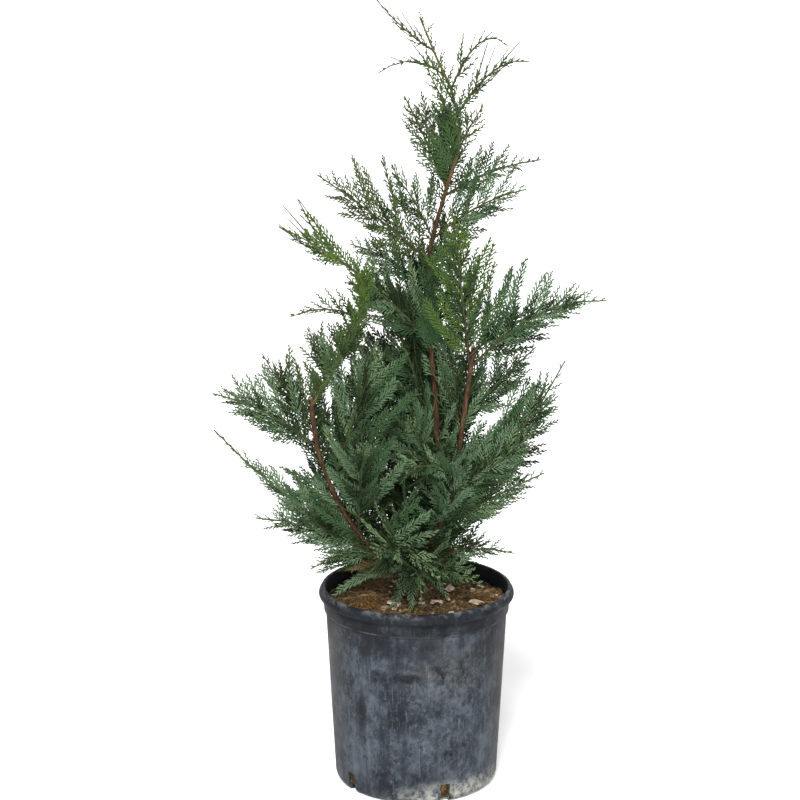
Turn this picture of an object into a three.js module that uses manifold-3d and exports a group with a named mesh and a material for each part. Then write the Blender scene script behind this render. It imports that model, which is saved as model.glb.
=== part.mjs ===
// A young potted arborvitae: a nursery pot of soil, a low-forked trunk and feathery sprays of scale leaves.
// Millimetres. +X is right, +Y is back and +Z is up. The origin is on the ground, under the pot's middle.

import * as THREE from 'three';
import { mergeVertices } from 'three/addons/utils/BufferGeometryUtils.js';
import Module from 'manifold-3d';

const wasm = await Module();
wasm.setup();

// Pot, from the ground up
const POT_HEIGHT = 257;
const RIM_RADIUS = 125;
const WALL = 2.5;
const FOOT_RADIUS = 95;
const CORNER = 10;
const BODY_LOW_RADIUS = FOOT_RADIUS + CORNER;
const BODY_HIGH_RADIUS = 116;
const BAND_RADIUS = 118.5;
const BAND_LOW = POT_HEIGHT - 30;
const BAND_STEP = 2;
const BAND_FLARE = 0.8;
const LIP_LOW = POT_HEIGHT - 15;
const LIP_ROUND = 6;
const LIP_DROP = 9;
const LIP_FLAT = [1.5, 1];
const POT_SIDES = 36;

// Drain slots round the foot of the pot, the first of them so many degrees from +X
const SLOT_COUNT = 5;
const SLOT_WIDTH = 13;
const SLOT_TOP = 26;
const SLOT_DEPTH = 22;
const FIRST_SLOT = 2;

// Soil
const SOIL_EDGE = POT_HEIGHT - 21;
const SOIL_TOP = POT_HEIGHT - 14;
const SOIL_FLAT_RADIUS = 24;
const SOIL_SLACK = 1;
const SOIL_MIDWAY = 78;
const SOIL_MIDWAY_RISE = 4;
const CLEAR = 0.3;

// Stem of a mass: three-sided, ending a little short of the tip
const STEM_FOOT = 2.2;
const STEM_TIP = 1.1;
const STEM_END = 0.84;
const STEM_STEPS = 4;

// Side sprays of a mass: how far apart, how many, and where along the stem
const SPRAY_STEP = 22;
const FEWEST_SPRAYS = 5;
const MOST_SPRAYS = 8;
const FIRST_SPRAY = 0.11;
const LAST_SPRAY = 0.8;
const PLACE_JITTER = 0.4;
const END_SPRAY_SUNK = 0.05;

// Lie of the side sprays, in degrees: off the stem, less towards the tip, and rolled out of the flat
const SPRAY_ANGLE = 52;
const SPRAY_ANGLE_DROP = 16;
const ROLL_JITTER = 50;

// Length and bend of the side sprays, as shares
const FIRST_LENGTH = 0.75;
const LENGTH_GROWTH = 1.2;
const TAPER = 0.82;
const LEAST_LENGTH = 1;
const LENGTH_JITTER = 0.25;
const TRIED_LENGTHS = [1, 0.8, 0.62, 0.46];
const ARCH = 0.16;

// Blade of one spray
const SPRAY_RIDGE = 0.9;
const SPRAY_ROOM = 2;
const ROOT_HALF = 0.45;
const ROOT_RIDGE = 0.4;
const SHORT_SPRAY = 66;
const END_SLIM = 0.5;

// The flat of each mass faces out to the front or the back, and this much up.
const FACE_UP = 0.5;

// Masses of the back of the crown
const REAR_COUNT = 12;
const REAR_LOWEST = 304;
const REAR_HIGHEST = 792;
const REAR_STEM_TOP = 532;
const REAR_FAN = 68;
const REAR_START = 0.2;
const REAR_RISE = [12, 46];
const REAR_REACH = [178, 96];
const REAR_BOW = 10;
const REAR_SPREAD = 0.45;
const REAR_TINTS = ['blue', 'green', 'green'];
const GOLDEN = 0.618;

const COLOURS = {
  pot: [0x50555b, 0.62],
  soil: [0x4b3822, 0.95],
  bark: [0x6d4a36, 0.85],
  green_bark: [0x6b7031, 0.8],
  blue: [0x33503f, 0.7],
  green: [0x3f5f36, 0.7],
  bright: [0x5d7426, 0.7],
};

// Limbs: the middle line, from foot to tip, with the radius at each end. The trunk flares at the soil, and
// every other limb starts on the middle line of the limb that it comes from.
const FLARE_DECAY = 20;
const LIMBS = {
  trunk: {
    foot: 4.2,
    tip: 1.1,
    flare: 9,
    sides: 8,
    steps: 26,
    colour: 'bark',
    path: [
      [-4, 0, SOIL_TOP + CLEAR],
      [-4, 0, 266],
      [11, 2, 316],
      [26, 0, 437],
      [18, 3, 567],
      [14, 0, 675],
      [37, -2, 768],
      [51, 0, 820],
      [43, 0, 876],
      [21, 0, 926],
      [3, -2, 969],
    ],
  },
  left_stem: {
    from: 'trunk',
    foot: 2.7,
    tip: 2.9,
    sides: 6,
    steps: 9,
    colour: 'bark',
    path: [
      [-4, 0, 258],
      [-60, -24, 316],
      [-97, -34, 374],
      [-122, -38, 442],
      [-131, -36, 509],
    ],
  },
  right_stem: {
    from: 'trunk',
    foot: 3.1,
    tip: 3.0,
    sides: 6,
    steps: 9,
    colour: 'bark',
    path: [
      [4, 1, 295],
      [28, -25, 341],
      [45, -29, 392],
      [60, -26, 499],
      [70, -20, 571],
    ],
  },
  rear_stem: {
    from: 'trunk',
    foot: 4.6,
    tip: 2.2,
    sides: 6,
    steps: 8,
    colour: 'bark',
    path: [
      [-3, 0, 276],
      [-24, 42, 347],
      [-24, 60, 442],
      [-16, 68, 542],
    ],
  },
  left_shoot: {
    from: 'left_stem',
    foot: 2.6,
    tip: 1.5,
    sides: 5,
    steps: 9,
    colour: 'green_bark',
    path: [
      [-130, -36, 500],
      [-103, -40, 545],
      [-84, -40, 580],
      [-69, -38, 612],
      [-66, -38, 648],
      [-75, -38, 674],
    ],
  },
};

// Foliage masses. Each grows from a limb at a height, heads off by a turn from +X towards +Y and a rise above
// level, reaches so far, and bows up in between. Spread is the longest side spray as a share of the reach.
const MASSES = {
  trunk: {
    top_left: { at: 930, turn: 190, rise: 41, reach: 92, bow: -5, spread: 0.2, tint: 'green' },
    crest_right: { at: 884, turn: 28, rise: 32, reach: 94, bow: 30, spread: 0.2, tint: 'green' },
    crest_left: { at: 900, turn: 150, rise: 0, reach: 95, bow: 16, spread: 0.22, tint: 'bright' },
    upper_right: { at: 854, turn: 328, rise: 34, reach: 118, bow: 20, spread: 0.24, tint: 'green' },
    upper_left_tuft: { at: 864, turn: 212, rise: 56, reach: 80, bow: 2, spread: 0.3, tint: 'bright' },
    upper_left_fan: { at: 822, turn: 228, rise: 56, reach: 108, bow: 4, spread: 0.34, tint: 'bright' },
    upper_right_fan: { at: 808, turn: 325, rise: 58, reach: 68, bow: 4, spread: 0.5, tint: 'green' },
    upper_left_long: { at: 764, turn: 148, rise: 61, reach: 126, bow: 4, spread: 0.38, tint: 'green' },
    right_reach: { at: 756, turn: 28, rise: 15, reach: 143, bow: 8, spread: 0.36, tint: 'green' },
    right_fan: { at: 702, turn: 326, rise: 28, reach: 150, bow: 10, spread: 0.52, tint: 'blue' },
    left_fan: { at: 676, turn: 207, rise: 37, reach: 187, bow: 4, spread: 0.43, tint: 'green' },
    left_mid_fan: { at: 642, turn: 150, rise: 22, reach: 122, bow: 8, spread: 0.55, tint: 'blue' },
    left_inner: { at: 572, turn: 196, rise: 42, reach: 140, bow: 6, spread: 0.6, tint: 'blue' },
    right_inner: { at: 424, turn: 40, rise: 55, reach: 130, bow: 4, spread: 0.45, tint: 'blue' },
    right_skirt: { at: 284, turn: 352, rise: 9, reach: 124, bow: 12, spread: 0.44, tint: 'blue' },
    front_skirt_right: { at: 271, turn: 318, rise: 4, reach: 118, bow: 10, spread: 0.46, tint: 'blue' },
    front_skirt: { at: 273, turn: 274, rise: -3, reach: 106, bow: 26, spread: 0.52, tint: 'blue' },
    centre_upright: { at: 448, turn: 148, rise: 66, reach: 196, bow: 6, spread: 0.4, tint: 'blue' },
    front_low_left: { at: 286, turn: 246, rise: 18, reach: 146, bow: 14, spread: 0.62, tint: 'blue' },
    front_inner: { at: 396, turn: 250, rise: 44, reach: 146, bow: 10, spread: 0.6, tint: 'blue' },
  },
  left_stem: {
    left_hook: { at: 490, turn: 152, rise: 44, reach: 101, bow: -10, spread: 0.45, tint: 'green' },
    left_wide: { at: 448, turn: 204, rise: 31, reach: 157, bow: 10, spread: 0.37, tint: 'blue' },
    left_long: { at: 316, turn: 194, rise: 40, reach: 253, bow: -16, spread: 0.11, tint: 'blue' },
    left_low: { at: 300, turn: 197, rise: 22, reach: 173, bow: 10, spread: 0.37, tint: 'blue' },
    left_skirt: { at: 292, turn: 204, rise: 2, reach: 104, bow: 14, spread: 0.5, tint: 'blue' },
    front_left: { at: 334, turn: 276, rise: 58, reach: 164, bow: 14, spread: 0.62, tint: 'blue' },
    front_low_mid: { at: 322, turn: 319, rise: -12, reach: 126, bow: 18, spread: 0.6, tint: 'blue' },
    left_upright: { at: 392, turn: 350, rise: 72, reach: 196, bow: 10, spread: 0.6, tint: 'blue' },
  },
  left_shoot: {
    left_plume: { at: 664, turn: 159, rise: 27, reach: 113, bow: 4, spread: 0.42, tint: 'bright' },
    left_tuft: { at: 611, turn: 204, rise: 5, reach: 92, bow: 10, spread: 0.22, tint: 'green' },
    shoot_fringe: { at: 538, turn: 165, rise: 64, reach: 66, bow: 0, spread: 0.6, tint: 'green' },
    shoot_inner: { at: 552, turn: 348, rise: 58, reach: 66, bow: 0, spread: 0.6, tint: 'green' },
  },
  right_stem: {
    right_arch: { at: 546, turn: 336, rise: 29, reach: 198, bow: 24, spread: 0.29, tint: 'blue' },
    right_crest: { at: 562, turn: 352, rise: 40, reach: 92, bow: 4, spread: 0.5, tint: 'blue' },
    front_bright: { at: 540, turn: 236, rise: 78, reach: 208, bow: 2, spread: 0.4, tint: 'bright' },
    right_feather: { at: 480, turn: 38, rise: 33, reach: 142, bow: 2, spread: 0.46, tint: 'blue' },
    right_sweep: { at: 432, turn: 2, rise: 43, reach: 180, bow: -38, spread: 0.44, tint: 'blue' },
    right_wide: { at: 386, turn: 341, rise: 40, reach: 140, bow: -4, spread: 0.38, tint: 'blue' },
    right_low: { at: 342, turn: 350, rise: 30, reach: 152, bow: 2, spread: 0.36, tint: 'blue' },
    front_mid: { at: 414, turn: 222, rise: 6, reach: 108, bow: 12, spread: 0.62, tint: 'blue' },
    right_upright: { at: 450, turn: 108, rise: 72, reach: 176, bow: 10, spread: 0.38, tint: 'blue' },
  },
};

// The front and side masses in one list.
function frontMasses() {
  return Object.entries(MASSES).flatMap(([limb, rows]) =>
    Object.entries(rows).map(([name, row]) => ({ name, limb, ...row })),
  );
}

// The back of the crown is filled from the rear stem and the trunk, winding from side to side on the way up.
function rearMasses() {
  const rows = [];
  for (let i = 0; i < REAR_COUNT; i++) {
    const share = i / (REAR_COUNT - 1);
    const at = THREE.MathUtils.lerp(REAR_LOWEST, REAR_HIGHEST, share);
    rows.push({
      name: 'rear_' + String(i + 1).padStart(2, '0'),
      limb: at < REAR_STEM_TOP ? 'rear_stem' : 'trunk',
      at,
      turn: 90 + REAR_FAN * (2 * ((i * GOLDEN + REAR_START) % 1) - 1),
      rise: THREE.MathUtils.lerp(...REAR_RISE, share),
      reach: THREE.MathUtils.lerp(...REAR_REACH, share),
      bow: REAR_BOW,
      spread: REAR_SPREAD,
      tint: REAR_TINTS[i % REAR_TINTS.length],
      rear: true,
    });
  }
  return rows;
}

// A repeatable number from 0 to 1 for draw k of a mass.
function chance(mass, k) {
  const wave = Math.sin(mass * 12.9898 + k * 78.233) * 43758.5453;
  return wave - Math.floor(wave);
}

// Curves and solids

function stemRadius(share) {
  return THREE.MathUtils.lerp(STEM_FOOT, STEM_TIP, share);
}

function limbCurve(limb) {
  const points = limb.path.map((p) => new THREE.Vector3(...p));
  return new THREE.CatmullRomCurve3(points, false, 'catmullrom', 0.5);
}

function limbRadius(limb, share) {
  const flare = (limb.flare ?? 0) * Math.exp(-share * FLARE_DECAY);
  return THREE.MathUtils.lerp(limb.foot, limb.tip, share) + flare;
}

// The share along a limb, by its parameter, at which it reaches a height.
function shareAtHeight(curve, height) {
  let low = 0;
  let high = 1;
  for (let i = 0; i < 40; i++) {
    const middle = (low + high) / 2;
    if (curve.getPoint(middle).z < height) low = middle;
    else high = middle;
  }
  return (low + high) / 2;
}

// A round bar bent along a curve, from share 0 to end, with its own radius at each share.
function bentBar(curve, radiusAt, sides, steps, end = 1) {
  const geometry = new THREE.CylinderGeometry(1, 1, 1, sides, steps);
  const places = geometry.getAttribute('position');
  const frames = curve.computeFrenetFrames(steps, false);
  const local = new THREE.Vector3();
  for (let i = 0; i < places.count; i++) {
    local.fromBufferAttribute(places, i);
    const step = Math.round((local.y + 0.5) * steps);
    const share = (step / steps) * end;
    const radius = radiusAt(share);
    const place = curve
      .getPoint(share)
      .addScaledVector(frames.normals[step], local.x * radius)
      .addScaledVector(frames.binormals[step], -local.z * radius);
    places.setXYZ(i, place.x, place.y, place.z);
  }
  return geometry;
}

function limbSolid(limb, extra) {
  const radius = (share) => limbRadius(limb, share) + extra;
  return toSolid(bentBar(limb.curve, radius, limb.sides, limb.steps));
}

function toSolid(geometry) {
  const bare = new THREE.BufferGeometry();
  bare.setAttribute('position', geometry.getAttribute('position'));
  bare.setIndex(geometry.getIndex());
  const merged = mergeVertices(bare, 1e-4);
  return new wasm.Manifold(
    new wasm.Mesh({
      numProp: 3,
      vertProperties: merged.getAttribute('position').array,
      triVerts: new Uint32Array(merged.getIndex().array),
    }),
  );
}

function toGeometry(solid) {
  const mesh = solid.getMesh();
  const geometry = new THREE.BufferGeometry();
  geometry.setAttribute('position', new THREE.BufferAttribute(mesh.vertProperties, 3));
  geometry.setIndex(new THREE.BufferAttribute(mesh.triVerts, 1));
  geometry.computeVertexNormals();
  return geometry;
}

function largestBody(solid) {
  return solid.decompose().reduce((a, b) => (a.volume() > b.volume() ? a : b));
}

// Pot and soil

function arcPoints(x, y, radius, from, to, count) {
  const points = [];
  for (let i = 0; i <= count; i++) {
    const a = THREE.MathUtils.degToRad(THREE.MathUtils.lerp(from, to, i / count));
    points.push(new THREE.Vector2(x + radius * Math.cos(a), y + radius * Math.sin(a)));
  }
  return points;
}

function potGeometry() {
  const profile = [
    new THREE.Vector2(0, 0),
    ...arcPoints(FOOT_RADIUS, CORNER, CORNER, -90, 0, 4),
    new THREE.Vector2(BODY_HIGH_RADIUS, BAND_LOW - BAND_STEP),
    new THREE.Vector2(BAND_RADIUS, BAND_LOW),
    new THREE.Vector2(BAND_RADIUS + BAND_FLARE, LIP_LOW),
    ...arcPoints(RIM_RADIUS - LIP_ROUND, POT_HEIGHT - LIP_DROP, LIP_ROUND, -30, 50, 3),
    new THREE.Vector2(RIM_RADIUS - LIP_ROUND + LIP_FLAT[1], POT_HEIGHT),
    new THREE.Vector2(RIM_RADIUS - LIP_ROUND - LIP_FLAT[0], POT_HEIGHT),
    new THREE.Vector2(BAND_RADIUS - WALL, LIP_LOW),
    new THREE.Vector2(BAND_RADIUS - WALL, BAND_LOW),
    new THREE.Vector2(BODY_LOW_RADIUS - WALL, CORNER),
    new THREE.Vector2(FOOT_RADIUS, WALL),
    new THREE.Vector2(0, WALL),
  ];
  const shell = new THREE.LatheGeometry(profile, POT_SIDES).rotateX(Math.PI / 2);
  let solid = toSolid(shell);
  for (let i = 0; i < SLOT_COUNT; i++) {
    const slot = new THREE.BoxGeometry(SLOT_DEPTH, SLOT_WIDTH, 2 * SLOT_TOP);
    slot.translate(BODY_LOW_RADIUS, 0, 0);
    slot.rotateZ(THREE.MathUtils.degToRad(FIRST_SLOT + (360 * i) / SLOT_COUNT));
    solid = solid.subtract(toSolid(slot));
  }
  return toGeometry(solid);
}

function soilGeometry() {
  const profile = [
    new THREE.Vector2(0, WALL + CLEAR),
    new THREE.Vector2(FOOT_RADIUS - SOIL_SLACK, WALL + CLEAR),
    new THREE.Vector2(BODY_LOW_RADIUS - WALL - SOIL_SLACK, CORNER),
    new THREE.Vector2(BAND_RADIUS - WALL - 2 * SOIL_SLACK, BAND_LOW - SOIL_SLACK),
    new THREE.Vector2(BAND_RADIUS - WALL - CLEAR, SOIL_EDGE),
    new THREE.Vector2(SOIL_MIDWAY, SOIL_EDGE + SOIL_MIDWAY_RISE),
    new THREE.Vector2(SOIL_FLAT_RADIUS, SOIL_TOP),
    new THREE.Vector2(0, SOIL_TOP),
  ];
  return new THREE.LatheGeometry(profile, POT_SIDES / 2).rotateX(Math.PI / 2);
}

// Foliage

// The way a mass heads.
function massHeading(row) {
  const turn = THREE.MathUtils.degToRad(row.turn);
  const rise = THREE.MathUtils.degToRad(row.rise);
  const level = Math.cos(rise);
  return new THREE.Vector3(level * Math.cos(turn), level * Math.sin(turn), Math.sin(rise));
}

// The middle line of a mass, from the middle of its limb to its tip.
function massAxis(row) {
  const { curve } = LIMBS[row.limb];
  const seat = curve.getPoint(shareAtHeight(curve, row.at));
  const tip = seat.clone().addScaledVector(massHeading(row), row.reach);
  const control = seat.clone().lerp(tip, 0.5).add(new THREE.Vector3(0, 0, 2 * row.bow));
  return new THREE.QuadraticBezierCurve3(seat, control, tip);
}

// The bare stem of a mass, cut back from its limb.
function stemSolid(row) {
  const stem = toSolid(bentBar(row.axis, stemRadius, 3, STEM_STEPS, STEM_END));
  return largestBody(stem.subtract(LIMBS[row.limb].room));
}

// Stations along one flat spray, as shares of its length: how far along, and half its width there. The width
// grows to a pair of forward barbs and drops behind them, once for a short spray and twice for a long one,
// and then runs out to a point.
const SHORT_STATIONS = [
  [0.56, 0.32],
  [0.6, 0.08],
  [1, 0],
];
const LONG_STATIONS = [
  [0.42, 0.31],
  [0.46, 0.09],
  [0.75, 0.2],
  [0.79, 0.05],
  [1, 0],
];

// A flat spray with a low ridge, set at a root. It heads along one vector, is wide along another, and arches.
function sprayGeometry({ length, root, heading, width, arch, slim }, ridge) {
  const stations = length < SHORT_SPRAY ? SHORT_STATIONS : LONG_STATIONS;
  const steps = stations.length;
  const geometry = new THREE.CylinderGeometry(0, 1, 1, 3, steps);
  const across = width.clone().cross(heading);
  const places = geometry.getAttribute('position');
  const local = new THREE.Vector3();
  for (let i = 0; i < places.count; i++) {
    local.fromBufferAttribute(places, i);
    const step = Math.round((local.y + 0.5) * steps);
    const [along, half] = step ? stations[step - 1] : [0, ROOT_HALF / length];
    const scale = 1 - step / steps || 1;
    const sideways = (local.x / scale / Math.sin(Math.PI / 3)) * half * length * slim;
    const lift = arch * length * along ** 2 + (local.z / scale) * (step ? ridge : ROOT_RIDGE);
    const place = root
      .clone()
      .addScaledVector(heading, along * length)
      .addScaledVector(width, sideways)
      .addScaledVector(across, lift);
    places.setXYZ(i, place.x, place.y, place.z);
  }
  return geometry;
}

// The vector across the flat of a mass at a tangent. The flat faces out of the crown and up, less a roll.
function acrossFlat(row, tangent, roll) {
  const facing = new THREE.Vector3(0, row.rear ? 1 : -1, FACE_UP).projectOnPlane(tangent).normalize();
  facing.applyAxisAngle(tangent, THREE.MathUtils.degToRad(roll));
  return tangent.clone().cross(facing);
}

// Where each side spray of a mass sits, how it lies and how long it would be. The last one ends the stem.
function sprayPlan(row, index) {
  const count = THREE.MathUtils.clamp(Math.round(row.reach / SPRAY_STEP), FEWEST_SPRAYS, MOST_SPRAYS);
  const plan = [];
  for (let i = 0; i < count; i++) {
    const part = (i + PLACE_JITTER * chance(index, i)) / (count - 1 + PLACE_JITTER);
    const share = THREE.MathUtils.lerp(FIRST_SPRAY, LAST_SPRAY, part);
    const tangent = row.axis.getTangent(share);
    const flat = acrossFlat(row, tangent, ROLL_JITTER * (chance(index, i + 20) - 0.5));
    const sideways = i % 2 ? -1 : 1;
    const angle = THREE.MathUtils.degToRad(SPRAY_ANGLE - SPRAY_ANGLE_DROP * share);
    const heading = tangent.clone().multiplyScalar(Math.cos(angle));
    heading.addScaledVector(flat, sideways * Math.sin(angle));
    const width = tangent.clone().multiplyScalar(-Math.sin(angle));
    width.addScaledVector(flat, sideways * Math.cos(angle));
    const envelope = (1 - TAPER * share) * Math.min(1, FIRST_LENGTH + LENGTH_GROWTH * share);
    const vigour = LEAST_LENGTH + LENGTH_JITTER * chance(index, i + 40);
    const length = row.reach * row.spread * envelope * vigour;
    plan.push({ share, heading, width, length, arch: ARCH * (chance(index, i + 60) - 0.5), slim: 1 });
  }
  const share = STEM_END - END_SPRAY_SUNK;
  const heading = row.axis.getPoint(1).sub(row.axis.getPoint(share));
  const length = heading.length();
  heading.normalize();
  plan.push({ share, heading, width: acrossFlat(row, heading, 0), length, arch: 0, slim: END_SLIM });
  return plan;
}

// One mass: a three-sided stem with its sprays fused on. A spray is tried first with room round it. One that
// would touch a limb, another stem or a spray that is already there is shortened, and in the end left out.
function massSolid(row, index, others) {
  let solid = row.solid;
  for (const spray of sprayPlan(row, index)) {
    const root = row.axis.getPoint(spray.share);
    for (const share of TRIED_LENGTHS) {
      const tried = { ...spray, root, length: spray.length * share };
      const room = toSolid(sprayGeometry(tried, SPRAY_ROOM));
      if (others.some((other) => !other.intersect(room).isEmpty())) continue;
      solid = solid.add(toSolid(sprayGeometry(tried, SPRAY_RIDGE)));
      break;
    }
  }
  return largestBody(solid);
}

// Assembly

function named(name, geometry, colour) {
  const [hex, roughness] = COLOURS[colour];
  const material = new THREE.MeshStandardMaterial({ color: hex, roughness, metalness: 0 });
  const mesh = new THREE.Mesh(geometry, material);
  mesh.name = name;
  return mesh;
}

const plant = new THREE.Group();
plant.name = 'potted_arborvitae';
const pot = potGeometry();
const soil = soilGeometry();
plant.add(named('pot', pot, 'pot'));
plant.add(named('soil', soil, 'soil'));

// A limb is cut back from the one it comes from, and each has room round it that the next are cut back by.
const kept = [toSolid(pot), toSolid(soil)];
for (const [name, limb] of Object.entries(LIMBS)) {
  limb.curve = limbCurve(limb);
  limb.room = limbSolid(limb, CLEAR);
  const whole = limbSolid(limb, 0);
  const solid = limb.from ? largestBody(whole.subtract(LIMBS[limb.from].room)) : whole;
  kept.push(solid);
  plant.add(named(name, toGeometry(solid), limb.colour));
}

const masses = [...frontMasses(), ...rearMasses()];
for (const row of masses) {
  row.axis = massAxis(row);
  row.solid = stemSolid(row);
}
masses.forEach((row, index) => {
  const others = masses.filter((other) => other !== row).map((other) => other.solid);
  row.solid = massSolid(row, index, [...kept, ...others]);
  plant.add(named('foliage_' + row.name, toGeometry(row.solid), row.tint));
});

export default plant;
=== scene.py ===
"""Potted arborvitae: boughs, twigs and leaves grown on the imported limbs, with bark, soil and pot."""
import math
from itertools import product
from typing import NamedTuple

import bmesh
import bpy
import numpy as np
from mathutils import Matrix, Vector


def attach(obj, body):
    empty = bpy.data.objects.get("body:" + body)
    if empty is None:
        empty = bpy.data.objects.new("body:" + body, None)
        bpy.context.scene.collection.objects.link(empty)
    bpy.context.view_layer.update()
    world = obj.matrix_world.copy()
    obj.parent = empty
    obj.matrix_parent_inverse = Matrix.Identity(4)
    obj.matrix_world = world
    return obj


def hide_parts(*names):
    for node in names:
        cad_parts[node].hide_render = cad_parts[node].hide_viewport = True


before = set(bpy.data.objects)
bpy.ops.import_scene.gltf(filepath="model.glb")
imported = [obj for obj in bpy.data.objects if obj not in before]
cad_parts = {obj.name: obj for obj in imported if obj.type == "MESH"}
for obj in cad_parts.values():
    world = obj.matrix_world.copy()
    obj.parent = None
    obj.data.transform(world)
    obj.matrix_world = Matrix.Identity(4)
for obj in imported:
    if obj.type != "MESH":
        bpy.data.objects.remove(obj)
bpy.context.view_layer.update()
scene = bpy.context.scene
rng = np.random.default_rng(11)
draw = rng.uniform
TURN = 2 * math.pi

# Camera, read off the photo, with its focal length in the photo's pixels
CAMERA_AT = (-0.021, -2.32, 1.039)
CAMERA_TIP = math.radians(13.1)
PHOTO_SIDE = 800
FOCAL_PIXELS = 1902
SENSOR = 36
FARTHEST = 200

# Studio, with suns by name, place, strength and softness in degrees
SKY_LIGHT = 0.48
SUNS = [
    ("key", (-0.5, -2.2, 2.8), 4.7, 18),
    ("fill", (0.6, -3.0, 1.0), 2.1, 30),
    ("back", (0.9, 2.4, 1.6), 1.1, 40),
]
FLOOR_RADIUS = 60
FLOOR_SIDES = 64

# Pot. The lip's top is given by steps out from its round and down from the top.
POT_HEIGHT = 0.257
RIM_RADIUS = 0.125
WALL = 0.0025
FOOT_RADIUS = 0.095
FOOT_FLAT = FOOT_RADIUS - 0.012
CORNER = 0.01
BODY_LOW_RADIUS = FOOT_RADIUS + CORNER
BODY_HIGH_RADIUS = 0.116
BAND_RADIUS = 0.1185
BAND_FLARE = 0.0008
BAND_LOW = POT_HEIGHT - 0.03
BAND_BEVEL = 0.0004
BODY_TOP = BAND_LOW - 0.002
LIP_LOW = POT_HEIGHT - 0.015
LIP_ROUND = 0.006
LIP_DROP = 0.009
LIP_RADIUS = RIM_RADIUS - LIP_ROUND
LIP_TOP = [(0.0025, 0.001), (0.001, 0), (-0.0015, 0), (-0.0022, 0.001)]
POT_SIDES = 144
SHARP_ANGLE = math.radians(35)
SLOT_COUNT = 5
SLOT_WIDTH = 0.013
SLOT_TOP = 0.026
SLOT_DEPTH = 0.022
FIRST_SLOT = math.radians(2)

# Chalk and soot on the pot's front: tint, edges of its patches, and marks by place, stretch, edges and share
POT_MARKS = [
    ((0.27, 0.265, 0.235), (0.42, 0.58), [
        ((0.06, -0.09, 0.0), (0.6, 0.5, 2.0), 0.07, 0.03, 0.9),
        ((0.044, -0.11, 0.182), (0.6, 1, 0.8), 0.044, 0.006, 0.14),
    ]),
    ((0.006, 0.007, 0.008), (0.4, 0.52), [
        ((-0.008, -0.114, 0.171), (1, 1, 2.3), 0.018, 0.011, 0.85),
        ((-0.04, -0.108, 0.172), (0.5, 1, 2.4), 0.026, 0.01, 0.45),
        ((-0.069, -0.089, 0.118), (2.4, 1, 0.8), 0.024, 0.01, 0.75),
        ((0.046, -0.104, 0.066), (2.6, 1, 0.8), 0.024, 0.012, 0.75),
        ((-0.02, -0.112, 0.212), (0.4, 1, 1.8), 0.036, 0.012, 0.55),
        ((0.03, -0.11, 0.04), (0.5, 1, 2.0), 0.03, 0.01, 0.45),
        ((-0.055, -0.1, 0.03), (0.8, 1, 0.7), 0.026, 0.01, 0.35),
    ]),
]

# Soil: mound, clods by height and fineness, calm round the trunk, underside, and fibrous clumps
SOIL_RADIUS = 0.1155
SOIL_EDGE = POT_HEIGHT - 0.021
SOIL_TOP = POT_HEIGHT - 0.014
SOIL_FLAT = 0.024
SOIL_SLOPE = 0.09
SOIL_CLODS = [(0.0085, 55), (0.005, 150), (0.0028, 420)]
SOIL_CALM = 0.012
SOIL_CALM_SLOPE = 0.02
SOIL_RINGS = 90
SOIL_TURNS = 240
SOIL_BELOW = [
    (SOIL_RADIUS, BAND_LOW + 0.002),
    (BAND_RADIUS - WALL - 0.002, BAND_LOW - 0.001),
    (BODY_LOW_RADIUS - WALL - 0.001, CORNER),
    (FOOT_RADIUS - 0.001, WALL + 0.0003),
]
CLUMPS = [(-0.069, -0.03, 0.026, 0.012), (0.086, -0.01, 0.019, 0.01)]
CLUMP_SLOPE = 0.6

# Litter on the soil: big chips by place and size, then loose chips and fibres
BIG_CHIPS = [
    (-0.03, -0.036, 0.021),
    (0.026, -0.028, 0.017),
    (0.075, -0.036, 0.021),
    (0.045, 0.02, 0.014),
    (-0.092, -0.042, 0.013),
]
CHIP_COUNT = 90
CHIP_KINDS = 3
CHIP_SIZES = (0.004, 0.01)
CHIP_RADIUS = 0.104
FIBRE_COUNT = 900
FIBRE_SIZES = (0.006, 0.02)
FIBRE_RADIUS = 0.1
FIBRE_SAG = 0.15
FIBRE_STATIONS = [(0, 0.00035, 0.0003), (0.35, 0.0003, 0.0003), (0.7, 0.0003, 0.00025), (1, 0, 0)]
LOOSE_FIBRES = 0.45

# Limbs, in millimetres as in the part's source: radius at foot and tip, flare at the soil, and middle line
LIMBS = {
    "trunk": (4.2, 1.1, 9, [
        (-4, 0, 243.3), (-4, 0, 266), (11, 2, 316), (26, 0, 437), (18, 3, 567), (14, 0, 675),
        (37, -2, 768), (51, 0, 820), (43, 0, 876), (21, 0, 926), (3, -2, 969),
    ]),
    "left_stem": (2.7, 2.9, 0, [
        (-4, 0, 258), (-60, -24, 316), (-97, -34, 374), (-122, -38, 442), (-131, -36, 509),
    ]),
    "right_stem": (3.1, 3, 0, [
        (4, 1, 295), (28, -25, 341), (45, -29, 392), (60, -26, 499), (70, -20, 571),
    ]),
    "rear_stem": (4.6, 2.2, 0, [
        (-3, 0, 276), (-24, 42, 347), (-24, 60, 442), (-16, 68, 542),
    ]),
    "left_shoot": (2.6, 1.5, 0, [
        (-130, -36, 500), (-103, -40, 545), (-84, -40, 580), (-69, -38, 612), (-66, -38, 648),
        (-75, -38, 674),
    ]),
}
FLARE_DECAY = 20

# Bark's ridges by depth and fineness, and the cut on a pruned limb, in rings by size and height
BARK_SIDES = 22
BARK_STEP = 0.0022
BARK_RIDGES = [(0.3, (1, 1, 1)), (0.16, (2.3, 2.3, 5))]
RIDGES_ROUND = 2.6
RIDGES_ALONG = 70
CUT_RINGS = [(1.0, -0.0004), (0.93, 0.0005), (0.5, 0.0008), (0.02, 0.0007)]
CUT_START = 0.985
CUT_WIDTH = 1.03
CUT_SLANT = 0.0012
CUT_TURN = 0.6

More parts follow.
